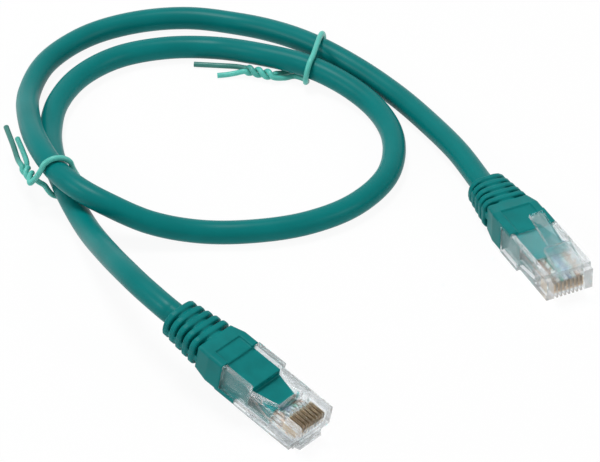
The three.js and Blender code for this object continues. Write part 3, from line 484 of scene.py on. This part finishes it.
def linked(name, mesh):
    made = bpy.data.objects.new(name, mesh)
    bpy.context.scene.collection.objects.link(made)
    return made


def mesh_of(name, vertices, edges, faces):
    mesh = bpy.data.meshes.new(name)
    mesh.from_pydata([tuple(v) for v in vertices], edges, faces)
    mesh.update()
    return mesh


def evaluated_mesh(made):
    """The mesh that an object's modifiers give, as a plain mesh; the object is removed"""
    graph = bpy.context.evaluated_depsgraph_get()
    mesh = bpy.data.meshes.new_from_object(
        made.evaluated_get(graph), preserve_all_data_layers=True, depsgraph=graph)
    bpy.data.objects.remove(made)
    return mesh


def with_modifiers(name, mesh, modifiers):
    """The mesh after a list of modifiers, each a type and its settings"""
    rough = linked(name, mesh)
    for kind, settings in modifiers:
        modifier = rough.modifiers.new(kind, kind)
        for setting, value in settings.items():
            setattr(modifier, setting, value)
    return evaluated_mesh(rough)


def rounded_edges(name, mesh, width, segments, angle):
    """The mesh with its edges rounded where its faces turn by more than an angle"""
    return with_modifiers(name, mesh, [("BEVEL", {
        "width": width,
        "segments": segments,
        "limit_method": "ANGLE",
        "angle_limit": angle,
        "use_clamp_overlap": True,
    })])


def from_tree(name, mesh, tree, inputs):
    """The mesh that a geometry tree makes of a mesh, with its named inputs set"""
    rough = linked(name, mesh)
    modifier = rough.modifiers.new(tree.name, "NODES")
    modifier.node_group = tree
    for socket in tree.interface.items_tree:
        if socket.in_out == "INPUT" and socket.name in inputs:
            modifier[socket.identifier] = inputs[socket.name]
    return evaluated_mesh(rough)


def merged_copy(node, to_local):
    """A copy of a CAD node's mesh with its loose triangles merged, moved into another frame"""
    mesh = bpy.data.meshes.new(node)
    shape = bmesh.new()
    shape.from_mesh(frame["nodes"][node].data)
    bmesh.ops.remove_doubles(shape, verts=shape.verts, dist=MERGE_DISTANCE)
    shape.transform(to_local)
    shape.to_mesh(mesh)
    shape.free()
    return mesh


def joined_flats(mesh):
    """Joins the coplanar triangles of a mesh into whole faces"""
    shape = bmesh.new()
    shape.from_mesh(mesh)
    bmesh.ops.dissolve_limit(shape, angle_limit=FLAT_ANGLE, verts=shape.verts, edges=shape.edges)
    shape.to_mesh(mesh)
    shape.free()


def finish_piece(name, mesh, material, body, nodes):
    """Puts a finished mesh in the scene as a piece that rides on a body and stands for CAD nodes"""
    mesh.materials.clear()
    mesh.materials.append(material)
    piece = linked(name, mesh)
    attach(piece, body)
    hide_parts(*nodes)
    return piece


# ---------------------------------------------------------------- geometry trees


def new_tree(name, inputs):
    tree = bpy.data.node_groups.new(name, "GeometryNodeTree")
    tree.interface.new_socket("Geometry", in_out="INPUT", socket_type="NodeSocketGeometry")
    for label, kind in inputs:
        tree.interface.new_socket(label, in_out="INPUT", socket_type=kind)
    tree.interface.new_socket("Geometry", in_out="OUTPUT", socket_type="NodeSocketGeometry")
    return tree


def finish_tree(tree, geometry, group_input):
    """Ends a tree in real meshes with their material"""
    realized = tree.nodes.new("GeometryNodeRealizeInstances")
    painted = tree.nodes.new("GeometryNodeSetMaterial")
    output = tree.nodes.new("NodeGroupOutput")
    tree.links.new(geometry, realized.inputs["Geometry"])
    tree.links.new(realized.outputs["Geometry"], painted.inputs["Geometry"])
    tree.links.new(group_input.outputs["Material"], painted.inputs["Material"])
    tree.links.new(painted.outputs["Geometry"], output.inputs["Geometry"])


def tube_tree():
    """A round tube along a line of edges. The attribute straight holds each point's place on the tube
    as if it were pulled straight: across, across and along."""
    found = bpy.data.node_groups.get("Tube along a line")
    if found:
        return found
    tree = new_tree("Tube along a line", [
        ("Radius", "NodeSocketFloat"),
        ("Sides", "NodeSocketInt"),
        ("Material", "NodeSocketMaterial"),
    ])
    nodes = tree.nodes
    links = tree.links
    given = nodes.new("NodeGroupInput")
    to_curve = nodes.new("GeometryNodeMeshToCurve")
    along = nodes.new("GeometryNodeSplineParameter")
    keep_along = nodes.new("GeometryNodeCaptureAttribute")
    keep_along.capture_items.new("FLOAT", "Along")
    ring = nodes.new("GeometryNodeCurvePrimitiveCircle")
    place = nodes.new("GeometryNodeInputPosition")
    keep_place = nodes.new("GeometryNodeCaptureAttribute")
    keep_place.capture_items.new("VECTOR", "Place")
    tube = nodes.new("GeometryNodeCurveToMesh")
    tube.inputs["Fill Caps"].default_value = True
    apart = nodes.new("ShaderNodeSeparateXYZ")
    straight = nodes.new("ShaderNodeCombineXYZ")
    store = nodes.new("GeometryNodeStoreNamedAttribute")
    store.data_type = "FLOAT_VECTOR"
    store.domain = "POINT"
    store.inputs["Name"].default_value = "straight"
    smooth = nodes.new("GeometryNodeSetShadeSmooth")
    links.new(given.outputs["Geometry"], to_curve.inputs["Mesh"])
    links.new(to_curve.outputs["Curve"], keep_along.inputs["Geometry"])
    links.new(along.outputs["Length"], keep_along.inputs["Along"])
    links.new(given.outputs["Radius"], ring.inputs["Radius"])
    links.new(given.outputs["Sides"], ring.inputs["Resolution"])
    links.new(ring.outputs["Curve"], keep_place.inputs["Geometry"])
    links.new(place.outputs["Position"], keep_place.inputs["Place"])
    links.new(keep_along.outputs["Geometry"], tube.inputs["Curve"])
    links.new(keep_place.outputs["Geometry"], tube.inputs["Profile Curve"])
    links.new(keep_place.outputs["Place"], apart.inputs["Vector"])
    links.new(apart.outputs["X"], straight.inputs["X"])
    links.new(apart.outputs["Y"], straight.inputs["Y"])
    links.new(keep_along.outputs["Along"], straight.inputs["Z"])
    links.new(tube.outputs["Mesh"], store.inputs["Geometry"])
    links.new(straight.outputs["Vector"], store.inputs["Value"])
    links.new(store.outputs["Geometry"], smooth.inputs["Geometry"])
    finish_tree(tree, smooth.outputs["Geometry"], given)
    return tree


def row_tree():
    """Copies of a piece in a straight row across the plug"""
    found = bpy.data.node_groups.get("Row of copies")
    if found:
        return found
    tree = new_tree("Row of copies", [
        ("Count", "NodeSocketInt"),
        ("First", "NodeSocketVector"),
        ("Pitch", "NodeSocketVector"),
        ("Material", "NodeSocketMaterial"),
    ])
    nodes = tree.nodes
    links = tree.links
    given = nodes.new("NodeGroupInput")
    row = nodes.new("GeometryNodeMeshLine")
    row.mode = "OFFSET"
    copies = nodes.new("GeometryNodeInstanceOnPoints")
    links.new(given.outputs["Count"], row.inputs["Count"])
    links.new(given.outputs["First"], row.inputs["Start Location"])
    links.new(given.outputs["Pitch"], row.inputs["Offset"])
    links.new(row.outputs["Mesh"], copies.inputs["Points"])
    links.new(given.outputs["Geometry"], copies.inputs["Instance"])
    finish_tree(tree, copies.outputs["Instances"], given)
    return tree


def tube(name, line, radius, sides, material):
    """A closed tube along a line, with the rims of its ends left sharp"""
    edges = [(i, i + 1) for i in range(len(line) - 1)]
    mesh = from_tree(name, mesh_of(name, line, edges, []), tube_tree(), {
        "Radius": radius,
        "Sides": sides,
        "Material": material,
    })
    mesh.set_sharp_from_angle(angle=TUBE_EDGE_ANGLE)
    return mesh


# ---------------------------------------------------------------- materials


class Finish:
    """A material under construction: its nodes, their links and its main shader"""

    def __init__(self, name, sockets):
        self.material = bpy.data.materials.new(name)
        self.material.use_nodes = True
        self.nodes = self.material.node_tree.nodes
        self.links = self.material.node_tree.links
        self.main = self.nodes["Principled BSDF"]
        for socket, value in sockets.items():
            self.main.inputs[socket].default_value = value

    def coordinates(self, attribute=None):
        """The piece's own place, or a place on the surface that an attribute holds"""
        if attribute is None:
            return self.nodes.new("ShaderNodeTexCoord").outputs["Object"]
        reader = self.nodes.new("ShaderNodeAttribute")
        reader.attribute_name = attribute
        return reader.outputs["Vector"]

    def stretched(self, place, scale):
        mapping = self.nodes.new("ShaderNodeMapping")
        mapping.inputs["Scale"].default_value = scale
        self.links.new(place, mapping.inputs["Vector"])
        return mapping.outputs["Vector"]

    def along(self, place):
        """How far a place lies along a tube, in metres, where its line is laid out straight"""
        parts = self.nodes.new("ShaderNodeSeparateXYZ")
        self.links.new(place, parts.inputs[0])
        return parts.outputs["Z"]

    def added(self, first, second):
        total = self.nodes.new("ShaderNodeMath")
        total.operation = "ADD"
        self.links.new(first, total.inputs[0])
        self.links.new(second, total.inputs[1])
        return total.outputs[0]

    def noise(self, place, scale, detail=2.0, roughness=0.5):
        texture = self.nodes.new("ShaderNodeTexNoise")
        texture.inputs["Scale"].default_value = scale
        texture.inputs["Detail"].default_value = detail
        texture.inputs["Roughness"].default_value = roughness
        self.links.new(place, texture.inputs["Vector"])
        return texture.outputs["Fac"]

    def levels(self, value, low, high, to_low, to_high):
        ranged = self.nodes.new("ShaderNodeMapRange")
        ranged.inputs["From Min"].default_value = low
        ranged.inputs["From Max"].default_value = high
        ranged.inputs["To Min"].default_value = to_low
        ranged.inputs["To Max"].default_value = to_high
        self.links.new(value, ranged.inputs["Value"])
        return ranged.outputs["Result"]

    def spread(self, noise, to_low, to_high):
        """Draws the middle of a noise, from 0.3 to 0.7, out to a range"""
        return self.levels(noise, 0.3, 0.7, to_low, to_high)

    def blend_colours(self, share, first, second):
        mix = self.nodes.new("ShaderNodeMix")
        mix.data_type = "RGBA"
        mix.inputs["A"].default_value = (*first, 1)
        mix.inputs["B"].default_value = (*second, 1)
        self.links.new(share, mix.inputs["Factor"])
        return mix.outputs["Result"]

    def colour_from(self, result):
        self.links.new(result, self.main.inputs["Base Color"])

    def roughness_from(self, value):
        self.links.new(value, self.main.inputs["Roughness"])

    def bump_from(self, heights):
        """Adds bumps one over the other; each has a height value, a strength and a depth"""
        before = None
        for height, strength, depth in heights:
            bump = self.nodes.new("ShaderNodeBump")
            bump.inputs["Strength"].default_value = strength
            bump.inputs["Distance"].default_value = depth
            self.links.new(height, bump.inputs["Height"])
            if before:
                self.links.new(before, bump.inputs["Normal"])
            before = bump.outputs["Normal"]
        self.links.new(before, self.main.inputs["Normal"])

    def let_lamps_through(self, colour):
        """Lets the light of the lamps reach what the clear plastic covers"""
        rays = self.nodes.new("ShaderNodeLightPath")
        open_way = self.nodes.new("ShaderNodeBsdfTransparent")
        open_way.inputs["Color"].default_value = (*colour, 1)
        mix = self.nodes.new("ShaderNodeMixShader")
        self.links.new(rays.outputs["Is Shadow Ray"], mix.inputs[0])
        self.links.new(self.main.outputs[0], mix.inputs[1])
        self.links.new(open_way.outputs[0], mix.inputs[2])
        self.links.new(mix.outputs[0], self.nodes["Material Output"].inputs["Surface"])


def scaled_colour(colour, factor):
    return tuple(min(1, channel * factor) for channel in colour)


def jacket_finish(colour, attribute="straight"):
    """Satin extruded jacket: fine lines along it, and a slow change of tone"""
    finish = Finish("jacket satin extrusion", {
        "Specular IOR Level": 0.1,
        "IOR": 1.5,
    })
    place = finish.coordinates(attribute)
    drawn = finish.stretched(place, (1, 1, 0.02))
    lines = finish.noise(drawn, scale=1600, detail=3)
    tone = finish.noise(place, scale=90, detail=3)
    grain = finish.noise(place, scale=3200, detail=2)
    finish.colour_from(finish.blend_colours(
        finish.spread(tone, 0, 1), scaled_colour(colour, 0.93), scaled_colour(colour, 1.06)))
    finish.roughness_from(finish.spread(lines, 0.3, 0.38))
    finish.bump_from([(lines, 0.08, 0.00005), (grain, 0.06, 0.00003)])
    return finish.material


def boot_finish(colour):
    """Moulded boot: an even fine grain and a slightly cloudy tone"""
    finish = Finish("boot moulded satin", {
        "Specular IOR Level": 0.1,
        "IOR": 1.5,
    })
    place = finish.coordinates()
    grain = finish.noise(place, scale=2600, detail=3, roughness=0.6)
    cloud = finish.noise(place, scale=260, detail=4)
    finish.colour_from(finish.blend_colours(
        finish.spread(cloud, 0, 1), scaled_colour(colour, 0.9), scaled_colour(colour, 1.1)))
    finish.roughness_from(finish.spread(cloud, 0.34, 0.44))
    finish.bump_from([(grain, 0.12, 0.00006)])
    return finish.material


def tie_finish(colour):
    """Coated wire: smooth, with faint lines along it, and painted shade darkening its first end"""
    finish = Finish("tie coated wire", {
        "Specular IOR Level": 0.35,
        "IOR": 1.5,
    })
    place = finish.coordinates("straight")
    drawn = finish.stretched(place, (1, 1, 0.04))
    lines = finish.noise(drawn, scale=3800, detail=2)
    tone = finish.noise(place, scale=240, detail=3)
    # Painted shade: the tie's first end is drawn darker, and a random tone is added over the whole tie
    painted_shade_at_first_end = finish.levels(finish.along(place), TIE_PAINTED_SHADE_TO, TIE_PAINTED_SHADE_GONE_FROM, 0.85, 0)
    shade_and_tone = finish.added(painted_shade_at_first_end, finish.spread(tone, 0, 0.15))
    finish.colour_from(finish.blend_colours(
        shade_and_tone, scaled_colour(colour, 1.05), scaled_colour(colour, 0.32)))
    finish.roughness_from(finish.spread(tone, 0.28, 0.4))
    finish.bump_from([(lines, 0.12, 0.00004)])
    return finish.material


def clear_finish(settings):
    """Clear moulded plastic with faint patches of haze"""
    finish = Finish("clear moulded plastic", {
        "Transmission Weight": 1.0,
        "Specular IOR Level": 0.5,
        "IOR": 1.33,
        "Alpha": 0.7,
    })
    place = finish.coordinates()
    haze = finish.noise(place, scale=420, detail=4)
    waves = finish.noise(place, scale=500, detail=2)
    tint = tuple(settings.tint)
    finish.colour_from(finish.blend_colours(haze, tint, scaled_colour(tint, 0.97)))
    least = settings.roughness
    most = least + 0.08
    finish.roughness_from(finish.levels(haze, 0.35, 0.75, least, most))
    finish.bump_from([(waves, 0.015, 0.00002)])
    finish.let_lamps_through(tint)
    return finish.material


def contact_finish(colour):
    """Gold plating over stamped metal, with scratches along the contact"""
    finish = Finish("contact plating", {
        "Metallic": 1.0,
        "IOR": 1.5,
    })
    place = finish.coordinates()
    scratches = finish.noise(finish.stretched(place, (1, 0.15, 1)), scale=9000, detail=2)
    tone = finish.noise(place, scale=1300, detail=2)
    finish.colour_from(finish.blend_colours(
        finish.spread(tone, 0, 1), scaled_colour(colour, 0.8), colour))
    finish.roughness_from(finish.spread(scratches, 0.22, 0.4))
    finish.bump_from([(scratches, 0.1, 0.00002)])
    return finish.material


def conductor_finish(name, insulation, stripe):
    """Insulation with one stripe that winds along the conductor, in colours muted by a painted veil of reflection
    """
    finish = Finish(f"{name} insulation", {
        "Specular IOR Level": 0.5,
        "IOR": 1.5,
    })
    place = finish.coordinates("straight")
    bands = finish.nodes.new("ShaderNodeTexWave")
    bands.wave_type = "BANDS"
    bands.bands_direction = "DIAGONAL"
    bands.inputs["Scale"].default_value = 260
    bands.inputs["Distortion"].default_value = 0.4
    finish.links.new(place, bands.inputs["Vector"])
    on_stripe = finish.levels(bands.outputs["Fac"], 0.66, 0.74, 0, 1)
    grain = finish.noise(place, scale=900, detail=2)
    finish.colour_from(finish.blend_colours(on_stripe, insulation, stripe))
    finish.roughness_from(finish.spread(grain, 0.35, 0.45))
    return finish.material


def floor_finish(white_share):
    """Plain pale floor: the camera, gloss and clear plastic see it mostly white, and it keeps the shadow"""
    finish = Finish("plain floor", {})
    nodes = finish.nodes
    links = finish.links
    nodes.remove(finish.main)
    rays = nodes.new("ShaderNodeLightPath")
    diffuse = nodes.new("ShaderNodeBsdfDiffuse")
    diffuse.inputs["Color"].default_value = (0.95, 0.95, 0.95, 1)
    glow = nodes.new("ShaderNodeEmission")
    glow.inputs["Color"].default_value = (1, 1, 1, 1)
    glow.inputs["Strength"].default_value = 1
    share = nodes.new("ShaderNodeMath")
    share.operation = "MULTIPLY"
    share.inputs[1].default_value = white_share
    mix = nodes.new("ShaderNodeMixShader")
    links.new(seen_directly(nodes, links, rays), share.inputs[0])
    links.new(share.outputs[0], mix.inputs[0])
    links.new(diffuse.outputs[0], mix.inputs[1])
    links.new(glow.outputs[0], mix.inputs[2])
    links.new(mix.outputs[0], nodes["Material Output"].inputs["Surface"])
    return finish.material


def seen_directly(nodes, links, rays):
    """One for the rays of the camera, of gloss and through clear plastic"""
    total = rays.outputs["Is Camera Ray"]
    for label in ("Is Glossy Ray", "Is Transmission Ray"):
        add = nodes.new("ShaderNodeMath")
        add.operation = "ADD"
        add.use_clamp = True
        links.new(total, add.inputs[0])
        links.new(rays.outputs[label], add.inputs[1])
        total = add.outputs[0]
    return total


# ---------------------------------------------------------------- operators


class PATCHCABLE_OT_stage(bpy.types.Operator):
    """Make the camera, the pale floor, the light from all round and three large lights"""

    bl_idname = "patch_cable.stage"
    bl_label = "Stage"

    def execute(self, context):
        settings = context.scene.patch_cable_stage
        self.make_camera(context.scene, settings)
        self.make_floor(settings)
        self.make_world(context.scene, settings)
        for name, (place, size, power) in LIGHTS.items():
            self.make_light(name, place, size, getattr(settings, power))
        context.scene.view_settings.view_transform = "Standard"
        return {"FINISHED"}

    def make_camera(self, scene, settings):
        data = bpy.data.cameras.new("camera")
        data.lens = settings.focal_length
        data.sensor_width = SENSOR_WIDTH_MM
        data.clip_start = 0.01
        data.clip_end = 50
        camera = bpy.data.objects.new("camera", data)
        camera.location = settings.camera_place
        camera.rotation_euler = (math.pi / 2 - settings.camera_pitch, 0, 0)
        scene.collection.objects.link(camera)
        scene.camera = camera

    def make_floor(self, settings):
        half = settings.floor_size / 2
        square = ((-half, -half), (half, -half), (half, half), (-half, half))
        corners = [(x, y, -FLOOR_DROP) for x, y in square]
        floor = linked("floor", mesh_of("floor", corners, [], [(0, 1, 2, 3)]))
        floor.data.materials.append(floor_finish(settings.floor_white))

    def make_world(self, scene, settings):
        world = bpy.data.worlds.new("studio")
        world.use_nodes = True
        scene.world = world
        nodes = world.node_tree.nodes
        links = world.node_tree.links
        around = nodes["Background"]
        around.inputs["Color"].default_value = (1, 1, 1, 1)
        around.inputs["Strength"].default_value = settings.sky
        white = nodes.new("ShaderNodeBackground")
        white.inputs["Color"].default_value = (1, 1, 1, 1)
        white.inputs["Strength"].default_value = 1
        mix = nodes.new("ShaderNodeMixShader")
        rays = nodes.new("ShaderNodeLightPath")
        links.new(seen_directly(nodes, links, rays), mix.inputs[0])
        links.new(around.outputs[0], mix.inputs[1])
        links.new(white.outputs[0], mix.inputs[2])
        links.new(mix.outputs[0], nodes["World Output"].inputs["Surface"])

    def make_light(self, name, place, size, power):
        data = bpy.data.lights.new(name, "AREA")
        data.shape = "RECTANGLE"
        data.size, data.size_y = size
        data.energy = power
        light = bpy.data.objects.new(name, data)
        light.location = place
        light.rotation_euler = (LIGHT_AIM - Vector(place)).to_track_quat("-Z", "Y").to_euler()
        bpy.context.scene.collection.objects.link(light)


class PATCHCABLE_OT_cable(bpy.types.Operator):
    """Make the cable's jacket along its route, with its ends tucked into the boots"""

    bl_idname = "patch_cable.cable"
    bl_label = "Cable"

    def execute(self, context):
        settings = context.scene.patch_cable
        line = cable_line(settings.steps)
        material = jacket_finish(tuple(settings.colour))
        mesh = tube("cable", line, settings.diameter / 2, settings.sides, material)
        finish_piece("cable", mesh, material, CORD_BODY, ["cable_jacket"])
        return {"FINISHED"}


class PATCHCABLE_OT_ties(bpy.types.Operator):
    bl_idname = "patch_cable.ties"
    bl_label = "Twist ties"

    def execute(self, context):
        settings = context.scene.patch_cable_ties
        cable_settings = context.scene.patch_cable
        material = tie_finish(tuple(settings.colour))
        for place, tie in TIES.items():
            line = smooth_line(tie_points(tie, settings, cable_settings.diameter / 2), settings.steps)
            mesh = tube(f"twist_tie_{place}", line, settings.diameter / 2, settings.sides, material)
            finish_piece(
                f"twist_tie_{place}", mesh, material, CORD_BODY, [f"tie_{place}"])
        line = cable_line(cable_settings.steps)
        return {"FINISHED"}


class PATCHCABLE_OT_boots(bpy.types.Operator):
    """Make the moulded boots with rounded ribs, and finish the jacket ends inside them"""

    bl_idname = "patch_cable.boots"
    bl_label = "Boots"

    def execute(self, context):
        settings = context.scene.patch_cable_boots
        material = boot_finish(tuple(settings.colour))
        jacket = jacket_finish(tuple(context.scene.patch_cable.colour), None)
        for letter in PLUGS:
            node = f"plug_{letter}_boot"
            placed = plug_matrix(letter)
            mesh = merged_copy(node, Matrix.Scale(REMESH_SCALE, 4) @ placed.inverted())
            mesh = with_modifiers(node, mesh, [
                ("REMESH", {"mode": "VOXEL", "voxel_size": settings.grid * REMESH_SCALE}),
                ("SMOOTH", {"factor": 0.5, "iterations": settings.rounding}),
            ])
            mesh.transform(placed @ Matrix.Scale(1 / REMESH_SCALE, 4))
            mesh.shade_smooth()
            finish_piece(f"boot_{letter}", mesh, material, CORD_BODY, [node])
            end = frame["nodes"][f"plug_{letter}_jacket_end"]
            end.data.materials.clear()
            end.data.materials.append(jacket)
        return {"FINISHED"}


class PATCHCABLE_OT_housings(bpy.types.Operator):
    """Make the clear housings and their latches with rounded edges"""

    bl_idname = "patch_cable.housings"
    bl_label = "Housings and latches"

    def execute(self, context):
        settings = context.scene.patch_cable_housings
        material = clear_finish(settings)
        for letter in PLUGS:
            placed = plug_matrix(letter)
            pieces = {"housing": CORD_BODY, "latch": f"latch_{letter}"}
            for piece, body in pieces.items():
                node = f"plug_{letter}_{piece}"
                mesh = merged_copy(node, placed.inverted())
                joined_flats(mesh)
                mesh = rounded_edges(node, mesh, settings.edge, settings.segments, HOUSING_EDGE_ANGLE)
                mesh.transform(placed)
                finish_piece(f"{piece}_{letter}", mesh, material, body, [node])
        return {"FINISHED"}


class PATCHCABLE_OT_contacts(bpy.types.Operator):
    """Make the row of gold contacts of each plug"""

    bl_idname = "patch_cable.contacts"
    bl_label = "Contacts"

    def execute(self, context):
        settings = context.scene.patch_cable_contacts
        wire = context.scene.patch_cable_conductors
        material = contact_finish(tuple(settings.colour))
        for letter in PLUGS:
            blade = self.blade(settings, WIRE_HEIGHT + wire.diameter / 2 + SEAT_GAP)
            mesh = from_tree("contact row", blade, row_tree(), {
                "Count": CONTACT_COUNT,
                "First": (0, contact_y(0), 0),
                "Pitch": (0, CONTACT_PITCH, 0),
                "Material": material,
            })
            mesh.transform(plug_matrix(letter))
            nodes = [f"plug_{letter}_contact_{i + 1}" for i in range(CONTACT_COUNT)]
            finish_piece(f"contacts_{letter}", mesh, material, CORD_BODY, nodes)
        return {"FINISHED"}

    def blade(self, settings, bottom):
        """One contact, as an outline in x and z with a round front corner, drawn out to its thickness"""
        front = -CONTACT_SETBACK
        back = front - CONTACT_LENGTH
        top = NOSE_HEIGHT - CONTACT_SINK
        outline = [(back, bottom), (front, bottom)]
        for i in range(CONTACT_CORNER_STEPS + 1):
            angle = math.pi / 2 * i / CONTACT_CORNER_STEPS
            x = front - CONTACT_CORNER + CONTACT_CORNER * math.cos(angle)
            z = top - CONTACT_CORNER + CONTACT_CORNER * math.sin(angle)
            outline.append((x, z))
        outline.append((back, top))
        count = len(outline)
        half = settings.thickness / 2
        vertices = [(x, -half, z) for x, z in outline] + [(x, half, z) for x, z in outline]
        near = tuple(range(count))
        far = tuple(reversed(range(count, 2 * count)))
        rim = [((i + 1) % count, i, i + count, (i + 1) % count + count) for i in range(count)]
        mesh = mesh_of("contact", vertices, [], [near, far, *rim])
        return rounded_edges("contact", mesh, settings.edge, CONTACT_EDGE_SEGMENTS, CONTACT_EDGE_ANGLE)


class PATCHCABLE_OT_conductors(bpy.types.Operator):
    """Make the eight insulated conductors of each plug"""

    bl_idname = "patch_cable.conductors"
    bl_label = "Conductors"

    def execute(self, context):
        settings = context.scene.patch_cable_conductors
        for index, (slot, insulation, stripe) in enumerate(CONDUCTORS):
            material = conductor_finish(slot, insulation, stripe)
            line = smooth_line(conductor_points(index), settings.steps)
            for letter in PLUGS:
                name = f"conductor_{letter}_{index + 1}"
                mesh = tube(name, line, settings.diameter / 2, settings.sides, material)
                mesh.transform(plug_matrix(letter))
                node = f"plug_{letter}_wire_{index + 1}"
                finish_piece(name, mesh, material, CORD_BODY, [node])
        return {"FINISHED"}


class PATCHCABLE_PT_panel(bpy.types.Panel):
    """Lists the makers and their settings"""

    bl_label = "Patch Cable"
    bl_idname = "PATCHCABLE_PT_panel"
    bl_space_type = "VIEW_3D"
    bl_region_type = "UI"
    bl_category = "Patch Cable"

    def draw(self, context):
        for operator in OPERATORS:
            self.layout.operator(operator.bl_idname)
        for name, group in SETTINGS.items():
            box = self.layout.box()
            box.label(text=group.__doc__)
            for prop in group.__annotations__:
                box.prop(getattr(context.scene, name), prop)


# In the order in which main calls them
OPERATORS = (
    PATCHCABLE_OT_stage,
    PATCHCABLE_OT_cable,
    PATCHCABLE_OT_ties,
    PATCHCABLE_OT_boots,
    PATCHCABLE_OT_housings,
    PATCHCABLE_OT_contacts,
    PATCHCABLE_OT_conductors,
)


def register():
    for group in (*SETTINGS.values(), *OPERATORS, PATCHCABLE_PT_panel):
        bpy.utils.register_class(group)
    for name, group in SETTINGS.items():
        setattr(bpy.types.Scene, name, PointerProperty(type=group))


def unregister():
    for name in SETTINGS:
        delattr(bpy.types.Scene, name)
    for group in (PATCHCABLE_PT_panel, *OPERATORS[::-1], *list(SETTINGS.values())[::-1]):
        bpy.utils.unregister_class(group)


def main():
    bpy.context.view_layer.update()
    register()
    bpy.ops.patch_cable.stage()
    bpy.ops.patch_cable.cable()
    bpy.ops.patch_cable.ties()
    bpy.ops.patch_cable.boots()
    bpy.ops.patch_cable.housings()
    bpy.ops.patch_cable.contacts()
    bpy.ops.patch_cable.conductors()


if __name__ == "__main__":
    main()
